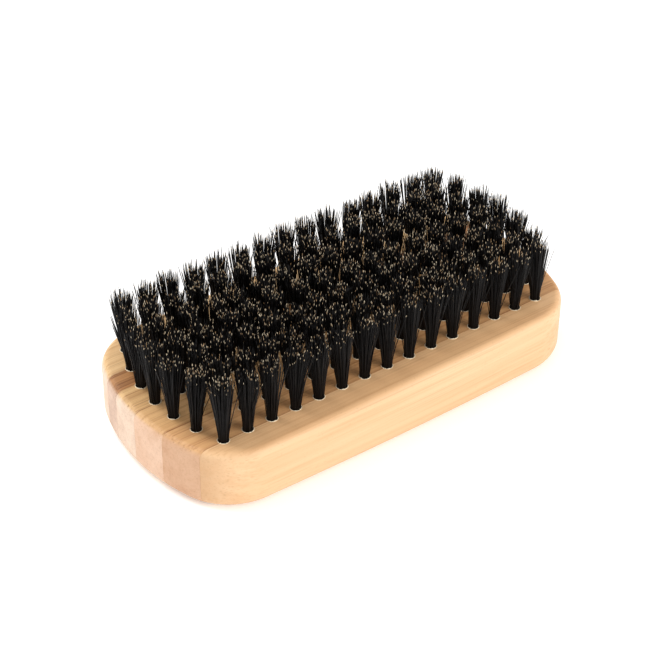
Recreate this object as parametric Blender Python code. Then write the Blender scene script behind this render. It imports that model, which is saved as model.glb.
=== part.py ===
"""A palm-sized beard brush: a glued bamboo block drilled for rows of bristle tufts.

The block lies flat on its underside with the bristles standing up, and its long side runs
along X. The origin is the middle of the underside. The block is six strips of bamboo glued
edge to edge. Each tuft is a folded bundle of bristle pressed into a blind hole, and the
splayed tips of neighbours in a row interlock, so such neighbours form one piece here.
"""
import math

import bmesh
import bpy
from mathutils import Matrix, Vector

MM = 0.001

# Block
BLOCK_LENGTH = 100.0 * MM
BLOCK_WIDTH = 50.0 * MM
BLOCK_HEIGHT = 13.8 * MM
END_BOW = 7.4 * MM          # how far each end bulges past its corners
SIDE_BOW = 1.15 * MM       # how far each long side bulges past its corners
CORNER_RADIUS = 13.9 * MM
TOP_ROUND = 1.7 * MM
BASE_ROUND = 2.8 * MM
ARC_STEPS = 7               # segments in each stretch of the outline
TOP_ROUND_STEPS = 3
BASE_ROUND_STEPS = 4

# Strips of the block, divided by glue lines that run along X, some of them through a row of holes
GLUE_LINES = [-17.9 * MM, -9.2 * MM, -0.6 * MM, 7.0 * MM, 12.1 * MM]
GLUE_GAP = 0.1 * MM
STRIP_COLOURS = [
    (0.83, 0.60, 0.36),
    (0.66, 0.42, 0.24),
    (0.76, 0.54, 0.33),
    (0.78, 0.56, 0.34),
    (0.55, 0.32, 0.16),
    (0.76, 0.53, 0.30),
]

# Tuft field
FIELD_CENTRE = Vector((-0.6 * MM, 0.2 * MM, 0.0))
PITCH = 5.67 * MM           # along a row
ROW_SPACING = 5.9 * MM
ROWS = 7
OUTER_COUNT = 15            # tufts in the first and the last row
INNER_COUNT = 16            # tufts in each row between them
FIELD_BOW = 4.2 * MM       # how far the middle rows reach past the outer rows at each end

# Holes and tufts
SIDES = 8
HOLE_RADIUS = 1.35 * MM
HOLE_DEPTH = 8.0 * MM
TUFT_ROOT_RADIUS = 1.1 * MM
TUFT_TIP_RADIUS = 2.6 * MM
TUFT_HEIGHT = 14.8 * MM     # above the block
ROOT_CLEARANCE = 0.3 * MM
TIP_LEAN = 0.6 * MM         # how far the tips of interlocked neighbours lean together
BRISTLE_COLOUR = (0.012, 0.012, 0.015)

COLLECTION = "beard_brush"
CUTTER_COLLECTION = "cutters"
SPARE = 10.0 * MM           # how far a cutter runs past the block


def clear_scene():
    for item in list(bpy.data.objects):
        bpy.data.objects.remove(item, do_unlink=True)


def new_collection(name):
    collection = bpy.data.collections.new(name)
    bpy.context.scene.collection.children.link(collection)
    return collection


def make_material(name, colour, roughness):
    material = bpy.data.materials.new(name)
    material.use_nodes = True
    shader = material.node_tree.nodes["Principled BSDF"]
    shader.inputs["Base Color"].default_value = (*colour, 1.0)
    shader.inputs["Roughness"].default_value = roughness
    shader.inputs["Metallic"].default_value = 0.0
    return material


def add_object(name, mesh, collection, is_cutter=False):
    item = bpy.data.objects.new(name, mesh)
    collection.objects.link(item)
    if is_cutter:
        item.hide_render = True
        item.display_type = 'WIRE'
    return item


def mesh_from(bm, name):
    bmesh.ops.recalc_face_normals(bm, faces=bm.faces)
    mesh = bpy.data.meshes.new(name)
    bm.to_mesh(mesh)
    bm.free()
    return mesh


def add_boolean(item, operation, operand):
    modifier = item.modifiers.new(operation.lower() + "_" + operand.name, 'BOOLEAN')
    modifier.operation = operation
    modifier.solver = 'EXACT'
    modifier.object = operand


# ---- block outline ---------------------------------------------------------------------

def bow_radius(half_chord, bow):
    return (half_chord ** 2 + bow ** 2) / (2 * bow)


def quarter_outline():
    """The outline from the middle of the +X end to the middle of the +Y side.

    A shallow end arc and a shallow side arc, each centred on an axis of the block, with a
    corner arc that touches both from inside.
    """
    half_length = BLOCK_LENGTH / 2
    half_width = BLOCK_WIDTH / 2
    end_radius = bow_radius(half_width, END_BOW)
    side_radius = bow_radius(half_length, SIDE_BOW)
    end_centre = Vector((half_length - end_radius, 0.0))
    side_centre = Vector((0.0, half_width - side_radius))
    # The corner's centre lies at (radius - CORNER_RADIUS) from each of the two centres.
    end_reach = end_radius - CORNER_RADIUS
    side_reach = side_radius - CORNER_RADIUS
    between = side_centre - end_centre
    gap = between.length
    along = (end_reach ** 2 - side_reach ** 2 + gap ** 2) / (2 * gap)
    across = math.sqrt(end_reach ** 2 - along ** 2)
    direction = between / gap
    normal = Vector((-direction.y, direction.x))
    corner_centre = end_centre + direction * along - normal * across
    if corner_centre.x < 0 or corner_centre.y < 0:
        corner_centre = end_centre + direction * along + normal * across
    end_angle = math.atan2(corner_centre.y - end_centre.y, corner_centre.x - end_centre.x)
    side_angle = math.atan2(corner_centre.y - side_centre.y, corner_centre.x - side_centre.x)
    points = arc(end_centre, end_radius, 0.0, end_angle)
    points += arc(corner_centre, CORNER_RADIUS, end_angle, side_angle)
    points += arc(side_centre, side_radius, side_angle, math.pi / 2)
    return points


def arc(centre, radius, start, end):
    """Points along an arc, without its last point."""
    angles = [start + (end - start) * step / ARC_STEPS for step in range(ARC_STEPS)]
    return [centre + radius * Vector((math.cos(angle), math.sin(angle))) for angle in angles]


def block_outline():
    """The whole outline, anticlockwise, mirrored from its first quarter."""
    quarter = quarter_outline()
    top = Vector((0.0, BLOCK_WIDTH / 2))
    right_half = quarter + [top]
    left_half = [Vector((-point.x, point.y)) for point in reversed(quarter)]
    upper = right_half + left_half
    lower = [Vector((point.x, -point.y)) for point in reversed(upper[1:-1])]
    return upper + lower


def block_mesh():
    """The block before it is drilled, with its rims rounded."""
    bm = bmesh.new()
    corners = [bm.verts.new((point.x, point.y, 0.0)) for point in block_outline()]
    base = bm.faces.new(corners)
    extruded = bmesh.ops.extrude_face_region(bm, geom=[base])
    raised = [part for part in extruded["geom"] if isinstance(part, bmesh.types.BMVert)]
    bmesh.ops.translate(bm, verts=raised, vec=(0.0, 0.0, BLOCK_HEIGHT))
    bmesh.ops.recalc_face_normals(bm, faces=bm.faces)
    round_rim(bm, BLOCK_HEIGHT, TOP_ROUND, TOP_ROUND_STEPS)
    round_rim(bm, 0.0, BASE_ROUND, BASE_ROUND_STEPS)
    return mesh_from(bm, "block")


def round_rim(bm, level, width, steps):
    rim = [edge for edge in bm.edges
           if all(abs(vert.co.z - level) < 0.01 * MM for vert in edge.verts)]
    bmesh.ops.bevel(bm, geom=rim, offset=width, offset_type='OFFSET', segments=steps,
                    profile=0.5, affect='EDGES', clamp_overlap=False)


# ---- tuft field ------------------------------------------------------------------------

def row_positions(row):
    """Centres of the tufts in one row, from the -X end to the +X end."""
    middle = (ROWS - 1) / 2
    offset = (row - middle) / middle
    outer_half_span = PITCH * (OUTER_COUNT - 1) / 2
    half_span = outer_half_span + FIELD_BOW * (1 - offset ** 2)
    count = OUTER_COUNT if abs(offset) == 1 else INNER_COUNT
    y = FIELD_CENTRE.y + (row - middle) * ROW_SPACING
    step = 2 * half_span / (count - 1)
    return [(FIELD_CENTRE.x - half_span + index * step, y) for index in range(count)]


def row_groups(count):
    """Indices of the tufts that interlock: pairs, and a middle trio in an odd row."""
    groups = []
    index = 0
    while index < count:
        in_middle = count % 2 == 1 and index == count // 2 - 1
        size = 3 if in_middle else 2
        groups.append(list(range(index, index + size)))
        index += size
    return groups


# ---- pieces ----------------------------------------------------------------------------

def prism(bm, x, y, low, high, radius):
    """An eight-sided upright cylinder with flats that face along the row."""
    turn = Matrix.Rotation(math.pi / SIDES, 4, 'Z')
    place = Matrix.Translation((x, y, (low + high) / 2)) @ turn
    bmesh.ops.create_cone(bm, cap_ends=True, segments=SIDES, radius1=radius, radius2=radius,
                          depth=high - low, matrix=place)


def make_drill(name, positions, cutters):
    bm = bmesh.new()
    for x, y in positions:
        prism(bm, x, y, BLOCK_HEIGHT - HOLE_DEPTH, BLOCK_HEIGHT + SPARE, HOLE_RADIUS)
    return add_object(name, mesh_from(bm, name), cutters, is_cutter=True)


def make_slab(name, low, high, cutters):
    bm = bmesh.new()
    size = (BLOCK_LENGTH + 2 * SPARE, high - low, BLOCK_HEIGHT + 2 * SPARE)
    place = Matrix.Translation((0.0, (low + high) / 2, BLOCK_HEIGHT / 2))
    bmesh.ops.create_cube(bm, size=1.0, matrix=place @ Matrix.Diagonal((*size, 1.0)))
    return add_object(name, mesh_from(bm, name), cutters, is_cutter=True)


def make_strips(parts, cutters):
    edge = BLOCK_WIDTH / 2 + SPARE
    lows = [-edge] + [line + GLUE_GAP / 2 for line in GLUE_LINES]
    highs = [line - GLUE_GAP / 2 for line in GLUE_LINES] + [edge]
    holes = [place for row in range(ROWS) for place in row_positions(row)]
    for index, (low, high) in enumerate(zip(lows, highs)):
        name = f"bamboo_strip_{index + 1}"
        strip = add_object(name, block_mesh(), parts)
        strip.data.materials.append(make_material(name, STRIP_COLOURS[index], 0.5))
        add_boolean(strip, 'INTERSECT', make_slab(f"slab_{index + 1}", low, high, cutters))
        met = [(x, y) for x, y in holes if low - HOLE_RADIUS < y < high + HOLE_RADIUS]
        add_boolean(strip, 'DIFFERENCE', make_drill(f"drill_{index + 1}", met, cutters))
        strip.data.shade_smooth()
        strip.data.set_sharp_from_angle(angle=math.radians(35))


def tuft_mesh(name, x, y, lean):
    """One tuft: a straight root in its hole, then a flare up to the splayed tips."""
    bm = bmesh.new()
    turn = Matrix.Rotation(math.pi / SIDES, 4, 'Z')
    root_level = BLOCK_HEIGHT - HOLE_DEPTH + ROOT_CLEARANCE
    place = Matrix.Translation((x, y, root_level)) @ turn
    bmesh.ops.create_circle(bm, cap_ends=True, segments=SIDES, radius=TUFT_ROOT_RADIUS,
                            matrix=place)
    foot = bm.faces[:][0]
    neck = raise_face(bm, foot, BLOCK_HEIGHT - root_level, 1.0, 0.0)
    raise_face(bm, neck, TUFT_HEIGHT, TUFT_TIP_RADIUS / TUFT_ROOT_RADIUS, lean)
    bmesh.ops.delete(bm, geom=[neck], context='FACES_ONLY')
    return mesh_from(bm, name)


def raise_face(bm, face, height, spread, lean):
    """Extrude a level face upwards, spread it about its middle and shift it along X."""
    extruded = bmesh.ops.extrude_face_region(bm, geom=[face])
    verts = [part for part in extruded["geom"] if isinstance(part, bmesh.types.BMVert)]
    top = [part for part in extruded["geom"] if isinstance(part, bmesh.types.BMFace)][0]
    middle = sum((vert.co for vert in verts), Vector()) / len(verts)
    bmesh.ops.scale(bm, verts=verts, vec=(spread, spread, 1.0),
                    space=Matrix.Translation(-middle))
    bmesh.ops.translate(bm, verts=verts, vec=(lean, 0.0, height))
    return top


def make_tufts(parts, cutters):
    bristle = make_material("bristle", BRISTLE_COLOUR, 0.45)
    for row in range(ROWS):
        positions = row_positions(row)
        for number, group in enumerate(row_groups(len(positions))):
            name = f"tufts_row_{row + 1}_group_{number + 1}"
            make_tuft_group(name, [positions[index] for index in group], bristle,
                            parts, cutters)


def make_tuft_group(name, positions, material, parts, cutters):
    centre = sum(x for x, _ in positions) / len(positions)
    group = None
    for index, (x, y) in enumerate(positions):
        lean = TIP_LEAN * (centre - x) / (PITCH / 2)
        member = f"{name}_tuft_{index + 1}"
        mesh = tuft_mesh(member, x, y, lean)
        mesh.materials.append(material)
        if group is None:
            group = add_object(name, mesh, parts)
        else:
            add_boolean(group, 'UNION', add_object(member, mesh, cutters, is_cutter=True))
    group.data.shade_smooth()
    group.data.set_sharp_from_angle(angle=math.radians(50))


def main():
    clear_scene()
    parts = new_collection(COLLECTION)
    cutters = new_collection(CUTTER_COLLECTION)
    make_strips(parts, cutters)
    make_tufts(parts, cutters)


main()
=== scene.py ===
"""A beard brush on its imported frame: bamboo strips, hole burrs, bristles and anchor staples.

Each bamboo strip and each group of tufts in the CAD is replaced by a finer piece. The burrs
and the anchor staples are only here.
"""
import math

import bmesh
import bpy
import numpy as np
from mathutils import Matrix, Vector


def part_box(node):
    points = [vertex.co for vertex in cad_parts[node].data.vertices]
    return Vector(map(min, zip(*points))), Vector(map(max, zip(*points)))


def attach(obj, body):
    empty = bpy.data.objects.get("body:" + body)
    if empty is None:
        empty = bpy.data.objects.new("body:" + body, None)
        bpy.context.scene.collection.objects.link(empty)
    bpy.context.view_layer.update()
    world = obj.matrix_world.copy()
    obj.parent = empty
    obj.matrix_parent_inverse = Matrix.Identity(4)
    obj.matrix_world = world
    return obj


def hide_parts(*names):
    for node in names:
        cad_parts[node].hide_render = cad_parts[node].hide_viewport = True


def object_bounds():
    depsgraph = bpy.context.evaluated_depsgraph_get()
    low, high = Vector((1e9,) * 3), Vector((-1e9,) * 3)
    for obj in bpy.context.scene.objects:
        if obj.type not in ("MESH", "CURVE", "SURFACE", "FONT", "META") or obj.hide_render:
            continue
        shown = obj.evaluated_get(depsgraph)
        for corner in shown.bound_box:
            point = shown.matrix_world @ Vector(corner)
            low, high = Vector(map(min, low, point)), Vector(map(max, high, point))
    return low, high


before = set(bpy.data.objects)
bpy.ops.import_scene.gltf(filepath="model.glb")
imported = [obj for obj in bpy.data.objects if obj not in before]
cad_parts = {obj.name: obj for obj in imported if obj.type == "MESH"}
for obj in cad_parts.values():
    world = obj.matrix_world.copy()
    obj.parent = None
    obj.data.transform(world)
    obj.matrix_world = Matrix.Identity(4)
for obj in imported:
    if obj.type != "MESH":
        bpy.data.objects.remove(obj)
cad_low, cad_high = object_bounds()

MM = 0.001
SEED = 4100

# The block's outline, as in the CAD. Its length, width and height come from the frame.
END_BOW = 7.4 * MM
SIDE_BOW = 1.15 * MM
CORNER_RADIUS = 13.9 * MM
TOP_ROUND = 1.7 * MM
BASE_ROUND = 2.8 * MM
ARC_STEPS = 22
TOP_ROUND_STEPS = 6
BASE_ROUND_STEPS = 8
GLUE_LINE = 0.02 * MM       # how far each strip stops short of the glue line's middle

# Holes
HOLE_SIDES = 28
HOLE_RADIUS = 1.12 * MM     # tighter round the bristles than the CAD's eight-sided hole
HOLE_DEPTH = 8.0 * MM
SPARE = 1.0 * MM            # how far the drill runs out above the block
SHARP_ANGLE = 30.0          # degrees, above which a strip's edge stays sharp

# The burr of raised fibres round each hole, as (distance from the hole's wall, height) in
# millimetres. Its first and last points are sunk in the wood.
BURR_SECTION = ((0.01, -0.10), (0.02, 0.03), (0.07, 0.09), (0.14, 0.03), (0.22, -0.10))
BURR_ROUGHNESS = 0.8        # share by which the burr's height varies

# Bristles
BRISTLES = 128              # in each tuft
BRISTLE_RADIUS = 0.10 * MM
BRISTLE_SIDES = 3
WIDTH_VARIATION = 0.12      # share by which one bristle's width differs from another's
ROOT_SPREAD = 0.98 * MM     # radius of the bundle where it leaves its hole
ROOT_FILL = 0.97            # share of that radius that the bristles' centre lines fill
ROOT_RISE = 0.5 * MM        # from the bottom of the hole to the bristles' lower ends
POINT_JITTER = 0.035        # unevenness of the bundle, as a share of its radius
TIP_SPREAD = 2.38 * MM      # radius of the bundle at its tips
SPREAD_VARIATION = 0.07     # share by which one tuft's spread differs from another's
TUFT_LEAN = 0.28 * MM       # how far a whole tuft leans at its tips
TIP_WANDER = 0.27 * MM      # how far each tip lies from its even place
FLARE_POWER = 1.25
TIP_TRIM = 0.25 * MM        # from the level of the tips in the CAD to the tallest tuft
TRIM_VARIATION = 0.5 * MM   # how much shorter a whole tuft may be than the tallest
TIP_DROP = 2.4 * MM         # the shortest bristles end this far below a tuft's longest
DROP_POWER = 1.6            # above 1, so most bristles are nearly as long as the longest
TIP_CLEARANCE = 0.05 * MM
STRAY_SHARE = 0.20          # share of bristles that stick out
STRAY_SPREAD = 1.02 * MM
STRAY_DROP = 1.2 * MM       # how much shorter a stray bristle may be
STATIONS = (0.0, 0.42, 0.93, 1.0)       # rings along the part above the block
TAPER = (0.8, 1.0, 0.95, 0.75, 0.35)    # thickness in the hole and then at each station
PALE_SHARE = 0.36           # share of bristles whose tips are pale

# Anchor staples
ANCHOR_LENGTH = 2.1 * MM
ANCHOR_RADIUS = 0.22 * MM
ANCHOR_SIDES = 8
ANCHOR_CLEARANCE = 0.05 * MM

# Stage
FLOOR_SIZE = 3.0
FLOOR_COLOUR = (0.93, 0.93, 0.93, 1.0)
FLOOR_GLOW = 0.22
WORLD_STRENGTH = 0.80

# Camera
CAMERA_AZIMUTH = -36.98     # degrees, from straight in front towards the -X end
CAMERA_ELEVATION = 36.64
CAMERA_ROLL = 0.59
CAMERA_DISTANCE = 387.9 * MM
CAMERA_LENS = 102.5
AIM_ALONG = -2.17 * MM      # from the middle of the tuft field, on the block's top
AIM_ACROSS = -1.37 * MM

# Measures read from the frame
POINT_STEP = 0.001 * MM     # points closer than this are one point
LEVEL_STEP = 0.01 * MM      # points closer in height than this are on one level
TUFT_GAP = 1.5 * MM         # feet of neighbouring tufts are further apart than this along X
ROW_DIGITS = 6              # decimals in metres that tell one row's distance from another's

STRIPS = sorted(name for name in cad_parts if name.startswith("bamboo_strip"))
TUFT_NODES = sorted(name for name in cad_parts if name.startswith("tufts_row"))


# ---- measures from the frame -----------------------------------------------------------

def block_size():
    """The block's length, width and height."""
    lows, highs = zip(*(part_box(name) for name in STRIPS))
    low = Vector([min(corner[axis] for corner in lows) for axis in range(3)])
    high = Vector([max(corner[axis] for corner in highs) for axis in range(3)])
    return high.x - low.x, high.y - low.y, high.z


def glue_lines():
    """Middle of the gap between each strip and the next."""
    boxes = [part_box(name) for name in STRIPS]
    return [(near[1].y + far[0].y) / 2 for near, far in zip(boxes, boxes[1:])]


def tuft_roots(node):
    """Centres of the tufts in a CAD node, from the rings of points at their feet."""
    points = np.array([vert.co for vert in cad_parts[node].data.vertices])
    feet = points[points[:, 2] < points[:, 2].min() + LEVEL_STEP]
    feet = np.unique(np.round(feet / POINT_STEP), axis=0) * POINT_STEP
    feet = feet[np.argsort(feet[:, 0])]
    breaks = np.where(np.diff(feet[:, 0]) > TUFT_GAP)[0] + 1
    return [(ring[:, 0].mean(), ring[:, 1].mean()) for ring in np.split(feet, breaks)]


def rows_of_roots():
    """Centres of the tufts, row by row from the front to the back."""
    rows = {}
    for x, y in ALL_ROOTS:
        rows.setdefault(round(y, ROW_DIGITS), []).append((x, y))
    return [rows[level] for level in sorted(rows)]


BLOCK_LENGTH, BLOCK_WIDTH, BLOCK_HEIGHT = block_size()
ROOTS = {node: tuft_roots(node) for node in TUFT_NODES}
ALL_ROOTS = [place for node in TUFT_NODES for place in ROOTS[node]]
TIP_LEVEL = cad_high.z
FIELD_MIDDLE = Vector(np.mean(ALL_ROOTS, axis=0))


# ---- node material helpers -------------------------------------------------------------

class Nodes:
    """A short way to build one material's node tree."""

    def __init__(self, name, roughness):
        self.material = bpy.data.materials.new(name)
        self.material.use_nodes = True
        self.tree = self.material.node_tree
        self.shader = self.tree.nodes["Principled BSDF"]
        self.shader.inputs["Roughness"].default_value = roughness

    def add(self, kind, **settings):
        node = self.tree.nodes.new(kind)
        for key, value in settings.items():
            setattr(node, key, value)
        return node

    def link(self, source, target):
        self.tree.links.new(source, target)

    def place(self, scale, move=(0.0, 0.0, 0.0)):
        """Object coordinates, scaled to cycles per metre along each axis."""
        coordinates = self.add("ShaderNodeTexCoord")
        mapping = self.add("ShaderNodeMapping")
        mapping.inputs["Scale"].default_value = scale
        mapping.inputs["Location"].default_value = move
        self.link(coordinates.outputs["Object"], mapping.inputs["Vector"])
        return mapping.outputs["Vector"]

    def noise(self, scale, move=(0.0, 0.0, 0.0), detail=3.0, roughness=0.55):
        texture = self.add("ShaderNodeTexNoise")
        texture.inputs["Scale"].default_value = 1.0
        texture.inputs["Detail"].default_value = detail
        texture.inputs["Roughness"].default_value = roughness
        self.link(self.place(scale, move), texture.inputs["Vector"])
        return texture.outputs["Fac"]

    def cells(self, scale, move=(0.0, 0.0, 0.0), randomness=0.9):
        texture = self.add("ShaderNodeTexVoronoi")
        texture.inputs["Scale"].default_value = 1.0
        texture.inputs["Randomness"].default_value = randomness
        self.link(self.place(scale, move), texture.inputs["Vector"])
        return texture.outputs["Distance"]

    def attribute(self, name):
        return self.add("ShaderNodeAttribute", attribute_name=name).outputs["Fac"]

    def remap(self, value, start, end, low=0.0, high=1.0):
        node = self.add("ShaderNodeMapRange", clamp=True)
        node.inputs["From Min"].default_value = start
        node.inputs["From Max"].default_value = end
        node.inputs["To Min"].default_value = low
        node.inputs["To Max"].default_value = high
        self.link(value, node.inputs["Value"])
        return node.outputs["Result"]

    def math(self, operation, first, second):
        node = self.add("ShaderNodeMath", operation=operation)
        for socket, value in zip(node.inputs, (first, second)):
            if isinstance(value, float):
                socket.default_value = value
            else:
                self.link(value, socket)
        return node.outputs["Value"]

    def mix(self, factor, first, second, blend='MIX'):
        node = self.add("ShaderNodeMix", data_type='RGBA', blend_type=blend)
        for socket, value in ((0, factor), (6, first), (7, second)):
            if isinstance(value, (float, tuple)):
                node.inputs[socket].default_value = value
            else:
                self.link(value, node.inputs[socket])
        return node.outputs[2]

    def bump(self, height, strength, distance):
        node = self.add("ShaderNodeBump")
        node.inputs["Strength"].default_value = strength
        node.inputs["Distance"].default_value = distance
        self.link(height, node.inputs["Height"])
        self.link(node.outputs["Normal"], self.shader.inputs["Normal"])


def colour(red, green, blue):
    """An opaque linear colour from 0 to 255 display values."""
    def linear(value):
        value /= 255.0
        return value / 12.92 if value <= 0.04045 else ((value + 0.055) / 1.055) ** 2.4
    return (linear(red), linear(green), linear(blue), 1.0)


# ---- bamboo ----------------------------------------------------------------------------

# Each strip's ground on its long faces and on its ends, its darker fibres, and how much
# those fibres show.
STRIP_LOOKS = [
    ((230, 192, 150), (214, 174, 132), (192, 138, 88), 0.50),
    ((222, 178, 130), (214, 172, 138), (160, 100, 52), 0.80),
    ((232, 192, 142), (232, 196, 168), (172, 116, 62), 0.80),
    ((234, 196, 144), (238, 212, 188), (150, 92, 44), 1.00),
    ((198, 146, 96), (224, 192, 168), (116, 66, 32), 1.00),
    ((240, 206, 158), (238, 210, 188), (186, 132, 78), 0.75),
]
CUT_COLOUR = (255, 238, 206)
SEAM_COLOUR = (138, 78, 38)
SEAM_WIDTH = 0.55 * MM


def with_painted_top_shade(tone):
    """Painted shade on the top: a darker, deeper gold than the sides, for the shade that falls
    between the tufts.
    """
    return colour(tone[0] * 0.98, tone[1] * 0.95, tone[2] * 0.90)


def shaded(tone, factor):
    """A display colour made darker or lighter."""
    return colour(*(min(255.0, value * factor) for value in tone))


def face_masks(nodes):
    """Masks for the ends and for the top, from the direction in which each face looks."""
    facing = nodes.add("ShaderNodeSeparateXYZ")
    nodes.link(nodes.add("ShaderNodeTexCoord").outputs["Normal"], facing.inputs["Vector"])
    on_end = nodes.remap(nodes.math('ABSOLUTE', facing.outputs["X"], 0.0), 0.55, 0.85)
    on_top = nodes.remap(facing.outputs["Z"], 0.55, 0.95)
    return on_end, on_top


def seam_mask(nodes, seam_level, streak):
    """A broken band of dark fibres just behind the glue line at seam_level."""
    across = nodes.add("ShaderNodeSeparateXYZ")
    nodes.link(nodes.add("ShaderNodeTexCoord").outputs["Object"], across.inputs["Vector"])
    near = nodes.remap(across.outputs["Y"], seam_level, seam_level + SEAM_WIDTH, 1.0, 0.0)
    return nodes.math('MULTIPLY', near, nodes.remap(streak, 0.38, 0.60, 0.15, 0.9))


def bamboo_ground(nodes, look, shift, on_end, on_top):
    """The strip's colour with its slow changes, before any fine fibre."""
    ground, end, fibre, strength = look
    drift = nodes.noise((14.0, 160.0, 160.0), shift, detail=2.0)
    broad = nodes.noise((9.0, 520.0, 520.0), shift, detail=2.0)
    # The top takes painted shade: a darker, deeper gold than the long faces.
    faces = nodes.mix(on_top, colour(*ground), with_painted_top_shade(ground))
    plain = nodes.mix(on_end, faces, colour(*end))
    drifted = nodes.mix(nodes.remap(drift, 0.35, 0.65, 0.0, 0.5), plain, shaded(fibre, 1.12))
    broad_amount = nodes.remap(on_end, 0.0, 1.0, 0.50 * strength, 0.14)
    warm_amount = nodes.math('MULTIPLY', nodes.remap(broad, 0.42, 0.70), broad_amount)
    return nodes.mix(warm_amount, nodes.mix(0.45, plain, drifted), colour(*fibre))


def bamboo_fibres(nodes, look, base, lines, dots, on_end, on_top):
    """Streaks over the ground colour on the long faces, and dots on the ends."""
    fibre, strength = look[2:]
    side_amount = nodes.remap(on_end, 0.0, 1.0, 0.42 * strength, 0.16)
    top_amount = nodes.remap(on_top, 0.0, 1.0, 0.0, 0.75 * strength)
    line_amount = nodes.math('MAXIMUM', side_amount, top_amount)
    streaked = nodes.mix(nodes.math('MULTIPLY', lines, line_amount), base, colour(*fibre))
    dot_amount = nodes.remap(on_end, 0.0, 1.0, 0.50 * strength, 0.16)
    return nodes.mix(nodes.math('MULTIPLY', dots, dot_amount), streaked, shaded(fibre, 0.86))


def bamboo_material(index, seam_level):
    """Bamboo with fibres along X, and dark ones at the glue line on the strip's -Y side.

    Noise scales are in cycles per metre along X, Y and Z.
    """
    look = STRIP_LOOKS[index]
    fibre = look[2]
    nodes = Nodes(f"bamboo_{index + 1}", 0.5)
    shift = (index * 0.37, index * 5.3, index * 2.9)
    on_end, on_top = face_masks(nodes)
    streak = nodes.noise((22.0, 1900.0, 1900.0), shift, detail=4.0, roughness=0.65)
    lines = nodes.remap(streak, 0.50, 0.68)
    dots = nodes.remap(nodes.cells((9.0, 1500.0, 1500.0), shift), 0.08, 0.30, 1.0, 0.0)
    pores = nodes.noise((2600.0, 2600.0, 2600.0), shift, detail=2.0)
    base = bamboo_ground(nodes, look, shift, on_end, on_top)
    grained = bamboo_fibres(nodes, look, base, lines, dots, on_end, on_top)
    seam = nodes.math('MULTIPLY', seam_mask(nodes, seam_level, streak), on_top)
    seamed = nodes.mix(seam, grained, colour(*SEAM_COLOUR))
    pitted = nodes.mix(nodes.remap(pores, 0.60, 0.75, 0.0, 0.15), seamed,
                       shaded(fibre, 0.7))
    nodes.link(pitted, nodes.shader.inputs["Base Color"])
    nodes.link(nodes.remap(streak, 0.3, 0.7, 0.42, 0.60), nodes.shader.inputs["Roughness"])
    nodes.shader.inputs["Specular IOR Level"].default_value = 0.35
    nodes.bump(nodes.math('ADD', lines, dots), 0.25, 0.03 * MM)
    return nodes.material


def cut_material():
    """The pale, slightly fuzzy fibres that the drill leaves round each hole."""
    nodes = Nodes("bamboo_cut", 0.8)
    fuzz = nodes.noise((5000.0, 5000.0, 5000.0), detail=3.0)
    nodes.link(nodes.mix(nodes.remap(fuzz, 0.45, 0.70), colour(*CUT_COLOUR),
                         shaded(CUT_COLOUR, 0.82)), nodes.shader.inputs["Base Color"])
    nodes.link(nodes.remap(fuzz, 0.3, 0.7, 0.7, 0.9), nodes.shader.inputs["Roughness"])
    nodes.bump(fuzz, 0.4, 0.03 * MM)
    return nodes.material


# ---- block -----------------------------------------------------------------------------

def bow_radius(half_chord, bow):
    return (half_chord ** 2 + bow ** 2) / (2 * bow)


def arc(centre, radius, start, end):
    """Points along an arc, without its last point."""
    angles = [start + (end - start) * step / ARC_STEPS for step in range(ARC_STEPS)]
    return [centre + radius * Vector((math.cos(angle), math.sin(angle))) for angle in angles]


def quarter_outline():
    """From the middle of the +X end round the corner to the middle of the +Y side."""
    half_length = BLOCK_LENGTH / 2
    half_width = BLOCK_WIDTH / 2
    end_radius = bow_radius(half_width, END_BOW)
    side_radius = bow_radius(half_length, SIDE_BOW)
    end_centre = Vector((half_length - end_radius, 0.0))
    side_centre = Vector((0.0, half_width - side_radius))
    # The corner arc touches both others from inside, which gives its centre.
    end_reach = end_radius - CORNER_RADIUS
    side_reach = side_radius - CORNER_RADIUS
    between = side_centre - end_centre
    gap = between.length
    along = (end_reach ** 2 - side_reach ** 2 + gap ** 2) / (2 * gap)
    across = math.sqrt(end_reach ** 2 - along ** 2)
    direction = between / gap
    normal = Vector((-direction.y, direction.x))
    corner = end_centre + direction * along - normal * across
    if corner.x < 0 or corner.y < 0:
        corner = end_centre + direction * along + normal * across
    end_angle = math.atan2(corner.y - end_centre.y, corner.x - end_centre.x)
    side_angle = math.atan2(corner.y - side_centre.y, corner.x - side_centre.x)
    points = arc(end_centre, end_radius, 0.0, end_angle)
    points += arc(corner, CORNER_RADIUS, end_angle, side_angle)
    points += arc(side_centre, side_radius, side_angle, math.pi / 2)
    return points


def block_outline():
    """The whole outline, anticlockwise, mirrored from its first quarter."""
    quarter = quarter_outline()
    right_half = quarter + [Vector((0.0, BLOCK_WIDTH / 2))]
    left_half = [Vector((-point.x, point.y)) for point in reversed(quarter)]
    upper = right_half + left_half
    lower = [Vector((point.x, -point.y)) for point in reversed(upper[1:-1])]
    return upper + lower


def round_rim(bm, level, width, steps):
    """Round the edges of the flat face at this level."""
    rim = [edge for edge in bm.edges
           if all(abs(vert.co.z - level) < LEVEL_STEP for vert in edge.verts)]
    bmesh.ops.bevel(bm, geom=rim, offset=width, offset_type='OFFSET', segments=steps,
                    profile=0.5, affect='EDGES', clamp_overlap=False)


def solid_block():
    """The block before it is drilled and sawn."""
    bm = bmesh.new()
    corners = [bm.verts.new((point.x, point.y, 0.0)) for point in block_outline()]
    base = bm.faces.new(corners)
    extruded = bmesh.ops.extrude_face_region(bm, geom=[base])
    raised = [part for part in extruded["geom"] if isinstance(part, bmesh.types.BMVert)]
    bmesh.ops.translate(bm, verts=raised, vec=(0.0, 0.0, BLOCK_HEIGHT))
    bmesh.ops.recalc_face_normals(bm, faces=bm.faces)
    round_rim(bm, BLOCK_HEIGHT, TOP_ROUND, TOP_ROUND_STEPS)
    round_rim(bm, 0.0, BASE_ROUND, BASE_ROUND_STEPS)
    return as_object(bm, "block")


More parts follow.
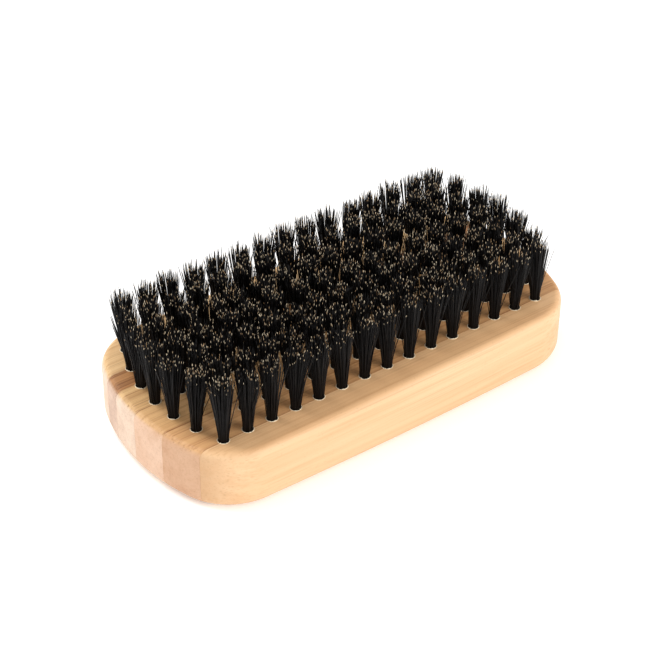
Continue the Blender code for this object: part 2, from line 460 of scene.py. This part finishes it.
def as_object(bm, name):
    """A new object in the scene with the mesh that bm holds."""
    bmesh.ops.recalc_face_normals(bm, faces=bm.faces)
    mesh = bpy.data.meshes.new(name)
    bm.to_mesh(mesh)
    bm.free()
    item = bpy.data.objects.new(name, mesh)
    bpy.context.scene.collection.objects.link(item)
    return item


def drills():
    """One cutter for all the holes."""
    bm = bmesh.new()
    low = BLOCK_HEIGHT - HOLE_DEPTH
    high = BLOCK_HEIGHT + SPARE
    for x, y in ALL_ROOTS:
        bmesh.ops.create_cone(bm, cap_ends=True, segments=HOLE_SIDES, radius1=HOLE_RADIUS,
                              radius2=HOLE_RADIUS, depth=high - low,
                              matrix=Matrix.Translation((x, y, (low + high) / 2)))
    return as_object(bm, "drills")


def drilled_block():
    """The mesh of the whole block with a blind hole for each tuft."""
    block = solid_block()
    cutter = drills()
    modifier = block.modifiers.new("holes", 'BOOLEAN')
    modifier.operation = 'DIFFERENCE'
    modifier.solver = 'EXACT'
    modifier.object = cutter
    depsgraph = bpy.context.evaluated_depsgraph_get()
    mesh = bpy.data.meshes.new_from_object(block.evaluated_get(depsgraph))
    bpy.data.objects.remove(block)
    bpy.data.objects.remove(cutter)
    return mesh


def sawn_strip(mesh, name, low, high):
    """The part of the block between two glue lines, with its sawn faces closed."""
    bm = bmesh.new()
    bm.from_mesh(mesh)
    for level, outward in ((low, -1.0), (high, 1.0)):
        if level is None:
            continue
        geometry = bm.verts[:] + bm.edges[:] + bm.faces[:]
        cut = bmesh.ops.bisect_plane(bm, geom=geometry, dist=POINT_STEP,
                                     plane_co=(0.0, level, 0.0),
                                     plane_no=(0.0, outward, 0.0), clear_outer=True)
        edges = [part for part in cut["geom_cut"] if isinstance(part, bmesh.types.BMEdge)]
        bmesh.ops.holes_fill(bm, edges=edges, sides=0)
    return as_object(bm, name)


def make_strips():
    block = drilled_block()
    lines = glue_lines()
    lows = [None] + [line + GLUE_LINE for line in lines]
    highs = [line - GLUE_LINE for line in lines] + [None]
    for index, node in enumerate(STRIPS):
        strip = sawn_strip(block, f"fine_{node}", lows[index], highs[index])
        strip.data.materials.append(bamboo_material(index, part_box(node)[0].y))
        strip.data.shade_smooth()
        strip.data.set_sharp_from_angle(angle=math.radians(SHARP_ANGLE))
        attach(strip, "root")
        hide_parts(node)


# ---- burrs -----------------------------------------------------------------------------

def burr_ring(bm, x, y, generator):
    """A closed ring of uneven height, sunk slightly into the block."""
    loops = []
    uneven = np.maximum(0.0, 1.0 + generator.normal(0.0, BURR_ROUGHNESS, HOLE_SIDES))
    for outset, height in BURR_SECTION:
        radius = HOLE_RADIUS + outset * MM
        circle = bmesh.ops.create_circle(bm, segments=HOLE_SIDES, radius=radius,
                                         matrix=Matrix.Translation((x, y, BLOCK_HEIGHT)))
        for vert, factor in zip(circle["verts"], uneven):
            vert.co.z += height * MM * (factor if height > 0 else 1.0)
        loops.append(circle["verts"])
    for inner, outer in zip(loops, loops[1:] + loops[:1]):
        for side in range(HOLE_SIDES):
            after = (side + 1) % HOLE_SIDES
            bm.faces.new((inner[side], inner[after], outer[after], outer[side]))


def make_burrs():
    material = cut_material()
    for number, roots in enumerate(rows_of_roots()):
        generator = np.random.default_rng(SEED - number - 1)
        bm = bmesh.new()
        for x, y in roots:
            burr_ring(bm, x, y, generator)
        piece = as_object(bm, f"hole_burrs_row_{number + 1}")
        piece.data.materials.append(material)
        piece.data.shade_smooth()
        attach(piece, "root")


# ---- bristles --------------------------------------------------------------------------

def bristle_material():
    """Near-black bristle, a little brown in places, with cream and tan split tips."""
    nodes = Nodes("bristle", 0.42)
    along = nodes.attribute("along")
    shade = nodes.attribute("shade")
    pale = nodes.attribute("pale")
    grain = nodes.noise((3000.0, 3000.0, 700.0), detail=2.0)
    dark = nodes.mix(nodes.math('MULTIPLY', shade, grain), colour(5, 5, 7),
                     colour(24, 20, 18))
    tip_colour = nodes.mix(shade, colour(255, 238, 206), colour(164, 126, 84))
    tip_zone = nodes.remap(along, 0.965, 0.982)
    tip_amount = nodes.math('MULTIPLY', tip_zone, pale)
    nodes.link(nodes.mix(tip_amount, dark, tip_colour), nodes.shader.inputs["Base Color"])
    nodes.link(nodes.remap(grain, 0.3, 0.7, 0.42, 0.60), nodes.shader.inputs["Roughness"])
    nodes.shader.inputs["Specular IOR Level"].default_value = 0.25
    nodes.bump(grain, 0.2, 0.01 * MM)
    return nodes.material


def disc_points(count, generator):
    """Even, slightly disturbed points on a unit disc."""
    index = np.arange(count) + 0.5
    radius = np.sqrt(index / count)
    angle = index * math.pi * (3.0 - math.sqrt(5.0))
    points = np.stack([radius * np.cos(angle), radius * np.sin(angle)], axis=1)
    return points + generator.normal(0.0, POINT_JITTER, (count, 2))


def tuft_paths(x, y, generator):
    """Centre line of each bristle in a tuft, as stations by bristles by three."""
    disc = disc_points(BRISTLES, generator)
    centre = np.array([x, y])
    foot = centre + disc * ROOT_SPREAD * ROOT_FILL
    spread = TIP_SPREAD * (1.0 + generator.normal(0.0, SPREAD_VARIATION))
    lean = generator.normal(0.0, TUFT_LEAN, 2)
    wander = generator.normal(0.0, TIP_WANDER, (BRISTLES, 2))
    stray = generator.random(BRISTLES) < STRAY_SHARE
    kick = generator.normal(0.0, STRAY_SPREAD, (BRISTLES, 2)) * stray[:, None]
    tip = centre + disc * spread + lean + wander + kick
    drop = generator.random(BRISTLES) ** DROP_POWER * TIP_DROP
    rise = TIP_LEVEL - TIP_TRIM - generator.random() * TRIM_VARIATION
    top = rise - drop - stray * generator.random(BRISTLES) * STRAY_DROP
    top = np.minimum(top, TIP_LEVEL - TIP_CLEARANCE)
    bottom = BLOCK_HEIGHT - HOLE_DEPTH + ROOT_RISE
    path = [np.column_stack([foot, np.full(BRISTLES, bottom)])]
    for station in STATIONS:
        here = foot + (tip - foot) * station ** FLARE_POWER
        level = BLOCK_HEIGHT + (top - BLOCK_HEIGHT) * station
        path.append(np.column_stack([here, level]))
    return np.array(path)


def bristle_mesh(name, roots, generator):
    """All bristles of one group, as closed three-sided hairs that taper to their tips.

    Points carry three values for the material: how far along the bristle they are, the
    bristle's shade, and whether its tip is pale.
    """
    verts, faces, along, shade, pale = [], [], [], [], []
    sides = BRISTLE_SIDES
    radii = BRISTLE_RADIUS * np.array(TAPER)
    shares = np.array((0.0,) + STATIONS)
    start = 0
    for x, y in roots:
        path = tuft_paths(x, y, generator)
        stations, count = path.shape[:2]
        turn = generator.random(count) * 2 * math.pi
        width = 1.0 + generator.normal(0.0, WIDTH_VARIATION, count)
        tint = generator.random(count)
        tipped = (generator.random(count) < PALE_SHARE).astype(float)
        grid = np.empty((stations, count, sides, 3))
        for side in range(sides):
            angle = turn + side * 2 * math.pi / sides
            outward = np.stack([np.cos(angle), np.sin(angle), np.zeros(count)], axis=1)
            reach = radii[:, None] * width[None, :]
            grid[:, :, side] = path + outward[None] * reach[:, :, None]
        verts.append(grid.reshape(-1, 3))
        number = start + np.arange(stations * count * sides).reshape(stations, count, sides)
        after = np.roll(number, -1, axis=2)
        quads = np.stack([number[:-1], after[:-1], after[1:], number[1:]], axis=-1)
        faces += quads.reshape(-1, 4).tolist()
        faces += number[-1].tolist()
        faces += number[0, :, ::-1].tolist()
        start += stations * count * sides
        along.append(np.repeat(shares, count * sides))
        shade.append(np.tile(np.repeat(tint, sides), stations))
        pale.append(np.tile(np.repeat(tipped, sides), stations))
    mesh = bpy.data.meshes.new(name)
    mesh.from_pydata(np.concatenate(verts).tolist(), [], faces)
    for label, values in (("along", along), ("shade", shade), ("pale", pale)):
        layer = mesh.attributes.new(label, 'FLOAT', 'POINT')
        layer.data.foreach_set("value", np.concatenate(values).astype(np.float32))
    mesh.shade_smooth()
    return mesh


def make_bristles():
    material = bristle_material()
    for number, node in enumerate(TUFT_NODES):
        name = node.replace("tufts", "bristles")
        generator = np.random.default_rng(SEED + number)
        piece = bpy.data.objects.new(name, bristle_mesh(name, ROOTS[node], generator))
        bpy.context.scene.collection.objects.link(piece)
        piece.data.materials.append(material)
        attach(piece, "root")
        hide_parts(node)


# ---- anchor staples --------------------------------------------------------------------

def steel_material():
    nodes = Nodes("anchor_steel", 0.35)
    nodes.shader.inputs["Metallic"].default_value = 1.0
    wear = nodes.noise((900.0, 900.0, 900.0), detail=3.0)
    nodes.link(nodes.mix(wear, colour(150, 150, 148), colour(186, 184, 180)),
               nodes.shader.inputs["Base Color"])
    nodes.link(nodes.remap(wear, 0.3, 0.7, 0.28, 0.48), nodes.shader.inputs["Roughness"])
    return nodes.material


def make_anchors():
    """The short wire that pins each tuft's fold to the bottom of its hole."""
    material = steel_material()
    level = BLOCK_HEIGHT - HOLE_DEPTH + ANCHOR_RADIUS + ANCHOR_CLEARANCE
    turn = Matrix.Rotation(math.pi / 2, 4, 'X')
    for number, roots in enumerate(rows_of_roots()):
        bm = bmesh.new()
        for x, y in roots:
            bmesh.ops.create_cone(bm, cap_ends=True, segments=ANCHOR_SIDES,
                                  radius1=ANCHOR_RADIUS, radius2=ANCHOR_RADIUS,
                                  depth=ANCHOR_LENGTH,
                                  matrix=Matrix.Translation((x, y, level)) @ turn)
        piece = as_object(bm, f"anchor_staples_row_{number + 1}")
        piece.data.materials.append(material)
        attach(piece, "root")


# ---- stage -----------------------------------------------------------------------------

def make_floor():
    bm = bmesh.new()
    bmesh.ops.create_grid(bm, x_segments=1, y_segments=1, size=FLOOR_SIZE)
    floor = as_object(bm, "floor")
    nodes = Nodes("floor", 0.9)
    nodes.shader.inputs["Base Color"].default_value = FLOOR_COLOUR
    nodes.shader.inputs["Specular IOR Level"].default_value = 0.0
    nodes.shader.inputs["Emission Color"].default_value = (1.0, 1.0, 1.0, 1.0)
    nodes.shader.inputs["Emission Strength"].default_value = FLOOR_GLOW
    floor.data.materials.append(nodes.material)


def add_light(name, azimuth, elevation, distance, size, power, tint=(1.0, 1.0, 1.0)):
    """A square softbox that faces the brush. Azimuth 0 is in front, 90 is at the -X end."""
    data = bpy.data.lights.new(name, 'AREA')
    data.shape = 'SQUARE'
    data.size = size
    data.energy = power
    data.color = tint
    light = bpy.data.objects.new(name, data)
    bpy.context.scene.collection.objects.link(light)
    turn = math.radians(azimuth)
    rise = math.radians(elevation)
    direction = Vector((-math.sin(turn) * math.cos(rise), -math.cos(turn) * math.cos(rise),
                        math.sin(rise)))
    light.location = direction * distance
    light.rotation_euler = direction.to_track_quat('Z', 'Y').to_euler()


def make_lights():
    world = bpy.data.worlds.new("studio")
    bpy.context.scene.world = world
    world.use_nodes = True
    background = world.node_tree.nodes["Background"]
    background.inputs["Color"].default_value = (1.0, 1.0, 1.0, 1.0)
    background.inputs["Strength"].default_value = WORLD_STRENGTH
    add_light("key", azimuth=-25.0, elevation=24.0, distance=1.2, size=0.7, power=7.5,
              tint=(1.0, 0.98, 0.95))
    add_light("back", azimuth=150.0, elevation=55.0, distance=1.2, size=0.6, power=7.0)


def make_camera():
    azimuth = math.radians(CAMERA_AZIMUTH)
    elevation = math.radians(CAMERA_ELEVATION)
    roll = math.radians(CAMERA_ROLL)
    back = Vector((math.sin(azimuth) * math.cos(elevation),
                   -math.cos(azimuth) * math.cos(elevation), math.sin(elevation)))
    right = (-back).cross(Vector((0.0, 0.0, 1.0))).normalized()
    up = right.cross(-back)
    side = right * math.cos(roll) + up * math.sin(roll)
    top = up * math.cos(roll) - right * math.sin(roll)
    aim = Vector((FIELD_MIDDLE.x + AIM_ALONG, FIELD_MIDDLE.y + AIM_ACROSS, BLOCK_HEIGHT))
    data = bpy.data.cameras.new("camera")
    data.lens = CAMERA_LENS
    data.sensor_width = 36.0
    data.clip_start = 0.01
    data.clip_end = 20.0
    camera = bpy.data.objects.new("camera", data)
    bpy.context.scene.collection.objects.link(camera)
    camera.matrix_world = Matrix.Translation(aim + back * CAMERA_DISTANCE) @ Matrix(
        (side, top, back)).transposed().to_4x4()
    bpy.context.scene.camera = camera
    bpy.context.scene.view_settings.view_transform = 'Standard'


make_strips()
make_burrs()
make_bristles()
make_anchors()
make_floor()
make_lights()
make_camera()
